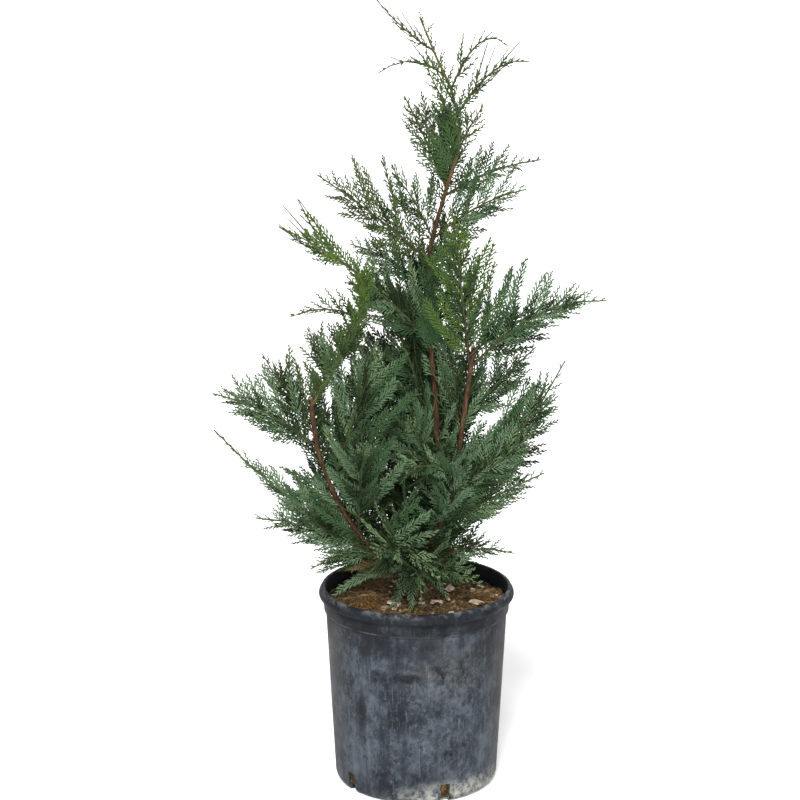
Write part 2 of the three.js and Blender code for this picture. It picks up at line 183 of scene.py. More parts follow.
# Bark from its cracks to its ridges, young bark and where it sets in, and wood from dark to light
BARKS = {
    "bark_brown": ((0.014, 0.006, 0.002), (0.058, 0.026, 0.01), (0.125, 0.072, 0.035)),
    "bark_green": ((0.03, 0.03, 0.008), (0.064, 0.072, 0.018), (0.1, 0.11, 0.036)),
    "twig_green": ((0.026, 0.032, 0.01), (0.05, 0.06, 0.018), (0.074, 0.084, 0.03)),
    "twig_brown": ((0.02, 0.014, 0.005), (0.052, 0.04, 0.014), (0.095, 0.078, 0.034)),
}
YOUNG_BARK = (0.074, 0.076, 0.024)
YOUNG_HEIGHTS = (0.74, 0.86)
WOODS = {
    "chip_1": ((0.26, 0.18, 0.125), (0.52, 0.41, 0.31)),
    "chip_2": ((0.1, 0.06, 0.034), (0.24, 0.155, 0.095)),
    "chip_3": ((0.012, 0.008, 0.004), (0.045, 0.027, 0.012)),
    "fibre": ((0.035, 0.017, 0.005), (0.19, 0.115, 0.045)),
    "cut_wood": ((0.13, 0.075, 0.04), (0.26, 0.18, 0.11)),
}

# Masses by limb, in millimetres: name, height, turn and rise in degrees, reach, bow, spread, and tints
MASSES = {"trunk": [
    ("top_left", 930, 190, 41, 92, -5, 0.2, "green"),
    ("crest_right", 884, 28, 32, 94, 30, 0.2, "green"),
    ("crest_left", 900, 150, 0, 95, 16, 0.22, "bright"),
    ("upper_right", 854, 328, 34, 118, 20, 0.24, "green"),
    ("upper_left_tuft", 864, 212, 56, 80, 2, 0.3, "bright"),
    ("upper_left_fan", 822, 228, 56, 108, 4, 0.34, "bright"),
    ("upper_right_fan", 808, 325, 58, 68, 4, 0.5, "green"),
    ("upper_left_long", 764, 148, 61, 126, 4, 0.38, "green"),
    ("right_reach", 756, 28, 15, 143, 8, 0.36, "green"),
    ("right_fan", 702, 326, 28, 150, 10, 0.52),
    ("left_fan", 676, 207, 37, 187, 4, 0.43, "green"),
    ("left_mid_fan", 642, 150, 22, 122, 8, 0.55),
    ("left_inner", 572, 196, 42, 140, 6, 0.6),
    ("right_inner", 424, 40, 55, 130, 4, 0.45),
    ("right_skirt", 284, 352, 9, 124, 12, 0.44),
    ("front_skirt_right", 271, 318, 4, 118, 10, 0.46),
    ("front_skirt", 273, 274, -3, 106, 26, 0.52),
    ("centre_upright", 448, 148, 66, 196, 6, 0.4),
    ("front_low_left", 286, 246, 18, 146, 14, 0.62),
    ("front_inner", 396, 250, 44, 146, 10, 0.6),
], "left_stem": [
    ("left_hook", 490, 152, 44, 101, -10, 0.5625, "green"),
    ("left_wide", 448, 204, 31, 157, 10, 0.4625),
    ("left_long", 316, 194, 40, 253, -16, 0.209),
    ("left_low", 300, 197, 22, 173, 10, 0.444),
    ("left_skirt", 292, 204, 2, 104, 14, 0.5),
    ("front_left", 334, 276, 58, 164, 14, 0.62),
    ("front_low_mid", 322, 319, -12, 126, 18, 0.6),
    ("left_upright", 392, 350, 72, 196, 10, 0.6),
], "left_shoot": [
    ("left_plume", 664, 159, 27, 113, 4, 0.42, "bright"),
    ("left_tuft", 611, 204, 5, 92, 10, 0.33, "green"),
    ("shoot_fringe", 538, 165, 64, 66, 0, 0.6, "green"),
    ("shoot_inner", 552, 348, 58, 66, 0, 0.6, "green"),
], "right_stem": [
    ("right_arch", 546, 336, 29, 198, 24, 0.3625),
    ("right_crest", 562, 352, 40, 92, 4, 0.5),
    ("front_bright", 540, 236, 78, 208, 2, 0.4, "bright"),
    ("right_feather", 480, 38, 33, 142, 2, 0.46),
    ("right_sweep", 432, 2, 43, 180, -38, 0.55),
    ("right_wide", 386, 341, 40, 140, -4, 0.475),
    ("right_low", 342, 350, 30, 152, 2, 0.432),
    ("front_mid", 414, 222, 6, 108, 12, 0.62),
    ("right_upright", 450, 108, 72, 176, 10, 0.38),
]}

# Masses of the back, in millimetres
REAR_COUNT = 12
REAR_HEIGHTS = (304, 792)
REAR_STEM_TOP = 532
REAR_FAN = 68
REAR_START = 0.2
REAR_RISE = (12, 46)
REAR_REACH = (178, 96)
REAR_BOW = 10
REAR_SPREAD = 0.45
REAR_TINTS = ("blue", "green", "green")
GOLDEN = 0.618

# Sprays from limbs, in millimetres: heights, step, reach, rise, group, shade, and for some a fan and a sag
REARWARD = (10, 170)
LOW_LEFT = (150, 222)
# Shade 0, the darkest tint, paints shade on sprays inside the crown; higher shades are lighter.
LIMB_SPRAYS = [
    ("trunk", (280, 430), 2.2, (85, 70), 30, "blue", 0),
    ("trunk", (430, 660), 6, (70, 50), 40, "blue", 0, REARWARD),
    ("trunk", (660, 860), 10, (36, 28), 45, "green", 1),
    ("trunk", (860, 968), 7, (22, 10), 60, "green", 2),
    ("left_stem", (280, 500), 5, (80, 55), 35, "blue", 0, REARWARD),
    ("right_stem", (310, 430), 3.5, (60, 50), 30, "blue", 1),
    ("right_stem", (430, 560), 8, (50, 35), 40, "blue", 0, REARWARD),
    ("rear_stem", (290, 540), 2, (95, 70), 30, "blue", 0),
    ("left_shoot", (505, 590), 2.4, (36, 30), 50, "green", 2),
    ("left_shoot", (520, 640), 4, (36, 28), 50, "bright", 1),
    ("left_shoot", (580, 673), 2.4, (34, 24), 50, "bright", 2),
    ("trunk", (560, 640), 3, (50, 34), 62, "blue", 1, (215, 325)),
    ("trunk", (625, 680), 4, (34, 28), 50, "bright", 1, (190, 340)),
    ("trunk", (768, 834), 3.6, (54, 44), 55, "bright", 1, (165, 235)),
    ("right_stem", (345, 442), 3.2, (54, 50), 34, "blue", 2, (200, 335)),
    ("left_stem", (310, 405), 6, (70, 60), 18, "blue", 1, (168, 208)),
    ("left_stem", (352, 372), 8, (62, 56), 22, "bright", 2, (176, 200)),
    ("left_stem", (272, 300), 3.6, (95, 75), 14, "blue", 2, LOW_LEFT, 0.3),
    ("left_stem", (270, 296), 4.4, (85, 60), 12, "green", 2, LOW_LEFT, 0.3),
    ("left_stem", (268, 296), 4, (80, 55), 8, "dead", 2, LOW_LEFT, 0.25),
    ("trunk", (264, 290), 4.5, (80, 66), 16, "blue", 2, (238, 305), 0.55),
    ("right_stem", (300, 318), 4, (60, 50), 0, "dead", 1, (330, 380), 0.4),
]

# Stretches of limb that show at the front, lowest to highest: few leaves hang before them
CLEAR_STRETCHES = [
    ("trunk", 0.438, 0.565),
    ("trunk", 0.68, 0.8),
    ("right_stem", 0.445, 0.575),
    ("left_stem", 0.3, 0.505),
]
CLEAR_WIDTH = 0.006

# Growth rule of the part's source: angle and roll of sprays along a bough. All of them turn up.
SPRAY_ANGLE = 52
SPRAY_ANGLE_DROP = 16
ROLL_JITTER = 50
FACE_UP = 0.5
LIFT = 0.14

# Length along the parent: taper, length at the start, and how fast it grows from there
SPRAY_ENVELOPE = (0.82, 0.75, 1.2)
TWIG_ENVELOPE = (0.85, 0.55, 1.8)

# Rows along the parent: step, least number, first place and span. Lesser boughs step by length times spread.
LESSER_ROW = (0.00189, 1, 0.11, 0.66)
SPRAY_ROW = (0.007, 6, 0.07, 0.9)
TWIG_ROW = (0.0029, 4, 0.03, 0.94)
LEAF_ROW = (0.0022, 2, 0.08, 0.84)

# Ranges of bend, as shares of the length: forward in the flat, and out of it
LESSER_BENDS = ((0.1, 0.3), (-0.1, 0.1))
SPRAY_BENDS = ((0.05, 0.25), (-0.096, 0.096))
TWIG_BENDS = ((0.06, 0.16), (-0.06, 0.06))
LEAF_BENDS = ((0.0, 0.2), (-0.1, 0.1))

# Ranges of angle to the parent and of roll out of its flat, in degrees
ANGLE_JITTER = (-7, 7)
LESSER_ANGLES = (34, 50)
LESSER_ROLLS = (25, 85)
TWIG_ANGLE = 43
TWIG_ANGLE_DROP = 14
TWIG_ROLLS = (-9, 9)
FORK_ANGLES = (26, 38)
FORK_ROLLS = (-12, 12)
LEAF_ANGLES = (18, 30)
LEAF_ROLLS = (-20, 20)

# Sizes: twigs as shares of what they grow on, then widths and lengths. High boughs bear fewer lesser ones.
BOUGH_TWIGS = 0.15
LESSER_TWIGS = 0.36
SPRAY_TWIGS = 0.44
SHORTEST_SPRAY = 0.0045
SHORTEST_TWIG = 0.0022
LONGEST_TWIG = 0.013
FORKED_TWIG = 0.008
TWIG_WIDTH = 0.0017
LEAF_WIDTH = 0.0008
LEAF_LENGTHS = (0.0013, 0.0019)
SHADED_LEAF_STRIDE = 2
OPEN_HEIGHTS = (0.56, 0.7)
OPEN_SHARE = 0.8

# Stalks: growth of the half width with length, its limits, and its shares along the stalk
STALK_BASE = 0.0004
STALK_GROWTH = 0.01
SHOOT_LIMITS = (0.0005, 0.001)
SHOOT_STATIONS = [(0, 1), (0.35, 0.9), (0.7, 0.8), (1, 0.6)]
SHOOT_FLATNESS = 0.8
BOUGH_LIMITS = (0.0008, 0.0018)
BROWN_STATIONS = [(0, 1), (0.15, 0.95), (0.3, 0.85)]
GREEN_STATIONS = [(0.3, 0.85), (0.45, 0.76), (0.6, 0.68), (0.8, 0.6), (1, 0.48)]
MOST_TRIANGLES = 190_000

# Wispy masses: their sprays lie close and are longer, and the last stretch of each is nearly bare
WISPY = {"top_left", "crest_right", "crest_left", "upper_right", "left_plume"}
WISP_ANGLE = 30
WISP_LENGTH = 0.9
WISP_TWIG_DROP = 12

# Masses whose sprays lie closer, or take darker tints, nearer the painted shade of the inside, and by how
# much
CLOSE = {"left_long": 0.6, "left_tuft": 0.5}
DEEPER = {"front_bright": 0.4, "upper_left_fan": 0.4, "right_fan": 0.6, "right_sweep": 0.4}

# Leaf colours, dealt out by spray: four tints a group, from the painted shade of the inside to the fresh tips
# The tints are lit and shaded copies: the darker paint shade on sprays inside the crown and behind others,
# the lighter paint light on outer sprays
TINTS = {
    "blue": [(0.007, 0.019, 0.005), (0.031, 0.07, 0.029), (0.075, 0.128, 0.068), (0.098, 0.152, 0.073)],
    "green": [(0.01, 0.019, 0.005), (0.026, 0.047, 0.015), (0.046, 0.075, 0.024), (0.047, 0.066, 0.022)],
    "bright": [(0.012, 0.027, 0.01), (0.038, 0.078, 0.026), (0.048, 0.092, 0.015), (0.06, 0.102, 0.013)],
    "dead": [(0.018, 0.012, 0.006), (0.046, 0.03, 0.012), (0.09, 0.056, 0.024), (0.15, 0.105, 0.055)],
}
GROUPS = list(TINTS)
SHADES = 4

# A unit box, with the corners of its sides, and the waves behind the lattice noise
BOX = np.array(list(product((-0.5, 0.5), repeat=3)))
BOX_SIDES = np.array([(0, 1, 3, 2), (4, 6, 7, 5), (0, 4, 5, 1), (2, 3, 7, 6), (0, 2, 6, 4), (1, 5, 7, 3)])
NOISE_WAVES = (12.9898, 78.233, 37.719)
NOISE_SCALE = 43758.5453


# Small maths


def metres(millimetres):
    return np.asarray(millimetres) / 1000


def vectors(*parts):
    return np.stack(parts, axis=-1)


def unit(v):
    return v / np.linalg.norm(v, axis=-1, keepdims=True)


def lerp(ends, share):
    return ends[0] + (ends[1] - ends[0]) * share


def ease(value, low, high):
    """0 below low, 1 above high, and smooth in between."""
    part = np.clip((value - low) / (high - low), 0, 1)
    return part * part * (3 - 2 * part)


def angles(low, high, count):
    """Random angles between two in degrees, in radians."""
    return np.radians(draw(low, high, count))


def headings(turn, rise):
    return vectors(np.cos(rise) * np.cos(turn), np.cos(rise) * np.sin(turn), np.sin(rise))


def turned(places, angle, a, b):
    """Places turned by an angle from axis a towards axis b."""
    made = places.copy()
    made[:, a] = places[:, a] * math.cos(angle) - places[:, b] * math.sin(angle)
    made[:, b] = places[:, a] * math.sin(angle) + places[:, b] * math.cos(angle)
    return made


def lattice_noise(places, seed):
    """Smooth noise from 0 to 1 on a unit lattice."""
    cell = np.floor(places)
    part = places - cell
    part = part * part * (3 - 2 * part)
    total = np.zeros(len(places))
    for corner in product((0, 1), repeat=3):
        wave = np.sin((cell + corner) @ NOISE_WAVES + seed) * NOISE_SCALE
        weight = np.prod(np.where(corner, part, 1 - part), axis=1)
        total += weight * (wave - np.floor(wave))
    return total


def rough(places, layers, seed):
    """Noise about 0 in layers, each with its depth and fineness."""
    noise = [lattice_noise(places * fineness, seed + k) - 0.5 for k, (_, fineness) in enumerate(layers)]
    return sum(depth * layer for (depth, _), layer in zip(layers, noise))


# Materials


class Finish:
    """A node material in the making, with its colour so far."""

    def __init__(self, name, roughness, shine=0.5):
        self.material = bpy.data.materials.new(name)
        self.material.use_nodes = True
        self.nodes = self.material.node_tree.nodes
        self.shader = self.nodes["Principled BSDF"].inputs
        self.shader["Roughness"].default_value = roughness
        self.shader["Specular IOR Level"].default_value = shine
        self.colour = None

    def feed(self, socket, value):
        """Links an output or sets a value."""
        if isinstance(value, bpy.types.NodeSocket):
            self.material.node_tree.links.new(value, socket)
        else:
            socket.default_value = (*value, 1) if socket.type == "RGBA" else value

    def node(self, kind, output, settings=(), **inputs):
        """One output of a new node. Spaces in the names of inputs are underlined."""
        made = self.nodes.new("ShaderNode" + kind)
        for name, value in settings:
            setattr(made, name, value)
        for name, value in inputs.items():
            self.feed(made.inputs[name.replace("_", " ")], value)
        return made.outputs[output]

    def places(self, stretch=(1, 1, 1), origin=(0, 0, 0)):
        shift = [-o * s for o, s in zip(origin, stretch)]
        at = self.node("TexCoord", "Object")
        return self.node("Mapping", "Vector", Vector=at, Location=shift, Scale=stretch)

    def noise(self, scale, detail=4, stretch=(1, 1, 1), roughness=0.5):
        at = self.places(stretch)
        return self.node("TexNoise", "Fac", Vector=at, Scale=scale, Detail=detail, Roughness=roughness)

    def distance_from(self, place, stretch):
        """Distance from a place, with each axis stretched."""
        return self.node("VectorMath", "Value", [("operation", "LENGTH")], Vector=self.places(stretch, place))

    def height(self):
        return self.node("SeparateXYZ", "Z", Vector=self.places())

    def ramp(self, factor, *stops):
        """Colours by place on the factor."""
        ramp = self.nodes.new("ShaderNodeValToRGB")
        elements = ramp.color_ramp.elements
        while len(elements) < len(stops):
            elements.new(0.5)
        for element, (place, colour) in zip(elements, stops):
            element.position = place
            element.color = (*colour, 1)
        self.feed(ramp.inputs["Fac"], factor)
        return ramp.outputs["Color"]

    def mask(self, factor, low, high):
        """0 below low, 1 above high, or the other way round where low is the larger."""
        return self.node("MapRange", "Result", Value=factor, From_Min=low, From_Max=high)

    def times(self, mask, other):
        """A mask times a number or another mask."""
        made = self.nodes.new("ShaderNodeMath")
        made.operation = "MULTIPLY"
        self.feed(made.inputs[0], mask)
        self.feed(made.inputs[1], other)
        return made.outputs["Value"]

    def over(self, mask, tint, share=1):
        """Lays a tint, or a ramp's colours, over the colour so far, by a share of the mask."""
        mixer = self.nodes.new("ShaderNodeMix")
        mixer.data_type = "RGBA"
        below, above = [s for s in mixer.inputs if s.type == "RGBA"]
        self.feed(mixer.inputs["Factor"], mask if share == 1 else self.times(mask, share))
        self.feed(below, self.colour)
        self.feed(above, tint)
        self.colour = next(s for s in mixer.outputs if s.type == "RGBA")

    def bump(self, height, distance, strength=1.0):
        relief = self.node("Bump", "Normal", Height=height, Distance=distance, Strength=strength)
        self.feed(self.shader["Normal"], relief)

    def done(self):
        """The material, with its colour set."""
        self.feed(self.shader["Base Color"], self.colour)
        return self.material


def pot_finish():
    """Scuffed dark plastic: mottled, streaked down, chalky low on the right and darkened on the band, with
    painted shade below the band and inside, painted light on its sides as seen from the front, and painted
    highlights on the band's step and, with wear, along the lip's top edge.
    """
    pot = Finish("pot_plastic", 0.6, 0.08)
    pot.colour = pot.ramp(
        pot.noise(20, 9, roughness=0.74),
        (0.36, (0.005, 0.007, 0.009)),
        (0.5, (0.027, 0.033, 0.041)),
        (0.63, (0.06, 0.071, 0.087)),
    )
    lace = pot.mask(pot.noise(190, 5, (1, 1, 0.6), 0.7), 0.5, 0.66)
    pot.over(lace, (0.078, 0.089, 0.103), 0.6)
    fleck = pot.mask(pot.noise(110, 6, (1, 1, 0.5), 0.7), 0.55, 0.64)
    pot.over(fleck, (0.008, 0.009, 0.011), 0.7)
    streak = pot.mask(pot.noise(1, 4, (80, 80, 7)), 0.5, 0.64)
    pot.over(streak, (0.011, 0.013, 0.015), 0.55)
    edges = [("feature", "DISTANCE_TO_EDGE")]
    web = pot.mask(pot.node("TexVoronoi", "Distance", edges, Vector=pot.places(), Scale=230), 0.11, 0.033)
    web = pot.times(web, pot.mask(pot.noise(28, 5), 0.46, 0.58))
    crazed = pot.times(web, pot.mask(pot.distance_from((0, 0, 0.15), (0, 0, 1)), 0.075, 0.04))
    pot.over(crazed, (0.007, 0.009, 0.011), 0.5)
    scratch = pot.mask(pot.noise(1, 2, (420, 420, 22)), 0.64, 0.7)
    pot.over(scratch, (0.1, 0.11, 0.12), 0.4)
    # Painted light: the pot's left and right, as seen from the front, turn a lighter olive grey.
    side = pot.mask(pot.distance_from((0, -0.03, 0), (1, 0.6, 0)), 0.085, 0.112)
    pot.over(side, (0.04, 0.038, 0.033), 0.55)
    for tint, patches, marks in POT_MARKS:
        for place, stretch, far, near, share in marks:
            spot = pot.mask(pot.distance_from(place, stretch), far, near)
            broken = pot.times(spot, pot.mask(pot.noise(75, 7, roughness=0.78), *patches))
            pot.over(broken, tint, share)
    # Painted shade below the band's step, broken up by noise.
    under_band_shade = pot.mask(pot.height(), BAND_LOW - 0.05, BAND_LOW - 0.006)
    under_band_shade = pot.times(under_band_shade, pot.mask(pot.noise(22, 6, roughness=0.65), 0.34, 0.56))
    pot.over(under_band_shade, (0.006, 0.007, 0.009), 0.8)
    # The band and lip are darkened, broken up by noise.
    band = pot.mask(pot.height(), BAND_LOW - 0.001, BAND_LOW + 0.001)
    dark_band = pot.times(band, pot.mask(pot.noise(38, 6, (1, 1, 2), 0.65), 0.72, 0.3))
    pot.over(dark_band, (0.005, 0.006, 0.008))
    # Painted highlight: a light line along the band's step, broken up by noise.
    step = pot.mask(pot.distance_from((0, 0, BAND_LOW), (0, 0, 1)), 0.0016, 0.0005)
    step_highlight = pot.times(step, pot.mask(pot.noise(45, 4), 0.42, 0.62))
    pot.over(step_highlight, (0.085, 0.09, 0.094), 0.6)
    # Lighter flecks along the lip's top edge: partly wear, partly a painted highlight.
    edge = pot.mask(pot.height(), POT_HEIGHT - 0.006, POT_HEIGHT - 0.001)
    worn_and_highlight = pot.times(edge, pot.mask(pot.noise(80, 5, roughness=0.65), 0.49, 0.62))
    pot.over(worn_and_highlight, (0.12, 0.125, 0.13), 0.55)
    # Painted shade: the pot's inner wall above the soil is darkened to near black.
    deep = pot.mask(pot.distance_from((0, 0, 0), (1, 1, 0)), BAND_RADIUS - 0.001, BAND_RADIUS - 0.002)
    inside = pot.times(deep, pot.mask(pot.height(), BAND_LOW, BAND_LOW + 0.004))
    pot.over(inside, (0.007, 0.008, 0.009))
    pot.feed(pot.shader["Roughness"], pot.mask(pot.noise(30, 4), -0.9, 1.4))
    pot.bump(pot.noise(260, 3), 0.0003, 0.7)
    return pot.done()


def soil_finish():
    """Dark peat, with orange-brown fibre on the clumps."""
    soil = Finish("soil_peat", 0.95, 0.1)
    soil.colour = soil.ramp(
        soil.noise(150, 9, roughness=0.75),
        (0.36, (0.006, 0.004, 0.002)),
        (0.47, (0.045, 0.027, 0.01)),
        (0.55, (0.095, 0.062, 0.026)),
        (0.66, (0.24, 0.175, 0.095)),
    )
    fibre = soil.ramp(
        soil.noise(330, 6, roughness=0.7),
        (0.36, (0.016, 0.007, 0.001)),
        (0.52, (0.084, 0.038, 0.007)),
        (0.68, (0.165, 0.085, 0.022)),
    )
    for x, y, radius, _ in CLUMPS:
        near = soil.mask(soil.distance_from((x, y, 0), (1, 1, 0)), radius * 1.25, radius * 0.7)
        soil.over(near, fibre)
    soil.bump(soil.noise(320, 6, roughness=0.7), 0.003)
    return soil.done()


def bark_finish(name, young=None):
    """Bark in strips along the limb, darker in its cracks, and of its young colour near the plant's top."""
    dark, light, pale = BARKS[name]
    bark = Finish(name, 0.85, 0.25)
    bark.colour = bark.ramp(bark.noise(1, 5, (900, 900, 60)), (0.36, dark), (0.55, light), (0.72, pale))
    bark.over(bark.mask(bark.noise(70, 4), 0.45, 0.65), dark, 0.5)
    if young:
        bark.over(bark.mask(bark.height(), *YOUNG_HEIGHTS), young, 0.75)
    bark.bump(bark.noise(1, 5, (1100, 1100, 120)), 0.0008)
    return bark.done()


def leaf_finish(name, colour):
    """A plain leaf colour, with the fine relief of overlapping scales."""
    leaf = Finish(name, 0.62, 0.12)
    leaf.colour = colour
    leaf.bump(leaf.noise(1400, 2), 0.0003, 0.5)
    return leaf.done()


def wood_finish(name):
    dark, light = WOODS[name]
    wood = Finish(name, 0.9)
    wood.colour = wood.ramp(wood.noise(220, 4), (0.35, dark), (0.65, light))
    wood.bump(wood.noise(600, 4), 0.0005)
    return wood.done()


def paper_finish():
    paper = Finish("floor_paper", 0.9)
    paper.colour = paper.ramp(paper.noise(3, 2), (0.3, (0.93, 0.93, 0.93)), (0.7, (0.95, 0.95, 0.95)))
    return paper.done()


# Camera, floor and light


def make_camera():
    data = bpy.data.cameras.new("camera")
    data.sensor_fit = "HORIZONTAL"
    data.sensor_width = SENSOR
    data.lens = SENSOR * FOCAL_PIXELS / PHOTO_SIDE
    data.clip_end = FARTHEST
    camera = bpy.data.objects.new("camera", data)
    camera.location = CAMERA_AT
    camera.rotation_euler = (math.pi / 2 - CAMERA_TIP, 0, 0)
    scene.collection.objects.link(camera)
    scene.camera = camera


def make_sun(name, place, strength, softness):
    data = bpy.data.lights.new(name, "SUN")
    data.energy = strength
    data.angle = math.radians(softness)
    light = bpy.data.objects.new(name, data)
    light.location = place
    light.rotation_euler = (-Vector(place)).to_track_quat("-Z", "Y").to_euler()
    scene.collection.objects.link(light)


def make_studio():
    """White surroundings that light the part less than they show, three suns, and a white floor."""
    world = bpy.data.worlds.new("studio")
    world.use_nodes = True
    tree = world.node_tree
    background = tree.nodes["Background"].inputs
    background["Color"].default_value = (1, 1, 1, 1)
    seen = tree.nodes.new("ShaderNodeLightPath")
    strength = tree.nodes.new("ShaderNodeMapRange")
    strength.inputs["To Min"].default_value = SKY_LIGHT
    tree.links.new(seen.outputs["Is Camera Ray"], strength.inputs["Value"])
    tree.links.new(strength.outputs["Result"], background["Strength"])
    scene.world = world
    scene.view_settings.view_transform = "Standard"
    for sun in SUNS:
        make_sun(*sun)
    mesh = bpy.data.meshes.new("floor")
    shape = bmesh.new()
    bmesh.ops.create_circle(shape, cap_ends=True, segments=FLOOR_SIDES, radius=FLOOR_RADIUS)
    shape.to_mesh(mesh)
    shape.free()
    mesh.materials.append(paper_finish())
    floor = bpy.data.objects.new("floor", mesh)
    scene.collection.objects.link(floor)


# Pieces


def array_mesh(name, shape, smooth=True):
    """A mesh from a shape: arrays of places and of faces with equal numbers of corners."""
    places, faces = shape
    mesh = bpy.data.meshes.new(name)
    corners = faces.shape[1]
    mesh.vertices.add(len(places))
    mesh.vertices.foreach_set("co", places.astype(np.float32).ravel())
    mesh.loops.add(faces.size)
    mesh.loops.foreach_set("vertex_index", faces.astype(np.int32).ravel())
    mesh.polygons.add(len(faces))
    mesh.polygons.foreach_set("loop_start", np.arange(0, faces.size, corners, dtype=np.int32))
    mesh.polygons.foreach_set("use_smooth", np.full(len(faces), smooth))
    mesh.update(calc_edges=True)
    return mesh


def add_mesh(name, mesh, nodes=()):
    """A piece that rides on the one body, and takes the place of the nodes named."""
    piece = bpy.data.objects.new(name, mesh)
    scene.collection.objects.link(piece)
    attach(piece, "root")
    if nodes:
        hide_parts(*nodes)
    return piece


def add_piece(name, shape, material, slot, nodes=(), smooth=True):
    mesh = array_mesh(name, shape, smooth)
    mesh.materials.append(material)
    add_mesh(name, mesh, nodes)


def add_split(name, shape, material, slot, nodes=()):
    """One piece, or several where there are too many triangles."""
    places, faces = shape
    parts = math.ceil(len(faces) / MOST_TRIANGLES)
    for number, chosen in enumerate(np.array_split(faces, parts)):
        used, local = np.unique(chosen, return_inverse=True)
        label = name if parts == 1 else f"{name}_{number + 1}"
        add_piece(label, (places[used], local.reshape(-1, 3)), material, slot, () if number else nodes)


def join(shapes):
    starts = np.cumsum([0] + [len(p) for p, _ in shapes[:-1]])
    places = np.concatenate([p for p, _ in shapes])
    return places, np.concatenate([f + s for (_, f), s in zip(shapes, starts)])


def grid_faces(rows, columns):
    """Quads of a grid of points, row by row, whose columns close up."""
    row, column = np.meshgrid(np.arange(rows - 1), np.arange(columns), indexing="ij")
    after = (column + 1) % columns
    quads = [row * columns + column, row * columns + after]
    quads += [(row + 1) * columns + after, (row + 1) * columns + column]
    return np.stack(quads, axis=-1).reshape(-1, 4)


# Pot and soil


def arc(x, z, radius, start, end, count):
    turns = np.radians(np.linspace(start, end, count + 1))
    return [(x + radius * math.cos(a), z + radius * math.sin(a)) for a in turns]


def pot_profile():
    """Points round the wall, from the middle of the foot to the middle of the floor."""
    body = np.linspace(0.03, 1, 16)
    return [
        (0, 0),
        (FOOT_FLAT, 0),
        *arc(FOOT_RADIUS, CORNER, CORNER, -90, 0, 8),
        *[(lerp((BODY_LOW_RADIUS, BODY_HIGH_RADIUS), s), lerp((CORNER, BODY_TOP), s)) for s in body],
        (BAND_RADIUS - 1.5 * BAND_BEVEL, BAND_LOW - BAND_BEVEL),
        (BAND_RADIUS, BAND_LOW + BAND_BEVEL),
        (BAND_RADIUS + BAND_FLARE, LIP_LOW),
        *arc(LIP_RADIUS, POT_HEIGHT - LIP_DROP, LIP_ROUND, -30, 50, 8),
        *[(LIP_RADIUS + out, POT_HEIGHT - down) for out, down in LIP_TOP],
        (BAND_RADIUS - WALL, LIP_LOW),
        (BAND_RADIUS - WALL, BAND_LOW),
        (BODY_LOW_RADIUS - WALL, CORNER),
        (FOOT_RADIUS, WALL),
        (0, WALL),
    ]


def make_pot():
    """The profile spun round, less the drain slots."""
    shape = bmesh.new()
    ring = [shape.verts.new((x, 0, z)) for x, z in pot_profile()]
    edges = [shape.edges.new(pair) for pair in zip(ring, ring[1:])]
    bmesh.ops.spin(
        shape, geom=ring + edges, cent=(0, 0, 0), axis=(0, 0, 1),
        angle=TURN, steps=POT_SIDES, use_merge=True,
    )
    bmesh.ops.remove_doubles(shape, verts=shape.verts, dist=1e-6)
    bmesh.ops.recalc_face_normals(shape, faces=shape.faces)
    mesh = bpy.data.meshes.new("pot_shell")
    shape.to_mesh(mesh)
    shape.free()
    piece = add_mesh("pot_shell", mesh, ["pot"])
    slot = BOX * (SLOT_DEPTH, SLOT_WIDTH, 2 * SLOT_TOP) + (BODY_LOW_RADIUS, 0, 0)
    turns = [FIRST_SLOT + TURN * i / SLOT_COUNT for i in range(SLOT_COUNT)]
    slots = join([(turned(slot, turn, 0, 1), BOX_SIDES) for turn in turns])
    cutter = bpy.data.objects.new("slots", array_mesh("slots", slots))
    scene.collection.objects.link(cutter)
    cut = piece.modifiers.new("slots", "BOOLEAN")
    cut.operation = "DIFFERENCE"
    cut.object = cutter
    made = bpy.data.meshes.new_from_object(piece.evaluated_get(bpy.context.evaluated_depsgraph_get()))
    piece.modifiers.clear()
    piece.data = made
    bpy.data.objects.remove(cutter)
    made.materials.clear()
    made.materials.append(pot_finish())
    made.shade_smooth()
    made.set_sharp_from_angle(angle=SHARP_ANGLE)


def soil_height(x, y):
    """Height of the soil's surface: a low mound with clods and clumps."""
    flat = vectors(x, y, np.zeros_like(x))
    away = np.hypot(x, y)
    mound = SOIL_TOP - (SOIL_TOP - SOIL_EDGE) * np.clip((away - SOIL_FLAT) / SOIL_SLOPE, 0, 1)
    height = mound + rough(flat, SOIL_CLODS, 1) * np.clip((away - SOIL_CALM) / SOIL_CALM_SLOPE, 0.1, 1)
    for clump_x, clump_y, radius, high in CLUMPS:
        height += high * np.exp(-((x - clump_x) ** 2 + (y - clump_y) ** 2) / (CLUMP_SLOPE * radius) ** 2)
    return height


def make_soil():
    rings = np.linspace(0, 1, SOIL_RINGS)
    turns = np.linspace(0, TURN, SOIL_TURNS, endpoint=False)
    away, turn = np.meshgrid(rings * SOIL_RADIUS, turns, indexing="ij")
    x = (away * np.cos(turn)).ravel()
    y = (away * np.sin(turn)).ravel()
    places = vectors(x, y, soil_height(x, y))
    edge = places[-SOIL_TURNS:] / (SOIL_RADIUS, SOIL_RADIUS, 1)
    below = [edge * (r, r, 0) + (0, 0, z) for r, z in SOIL_BELOW]
    places = np.concatenate([places, *below])
    faces = grid_faces(SOIL_RINGS + len(below), SOIL_TURNS)
    add_piece("soil_surface", (places, faces), soil_finish(), "soil", ["soil"])


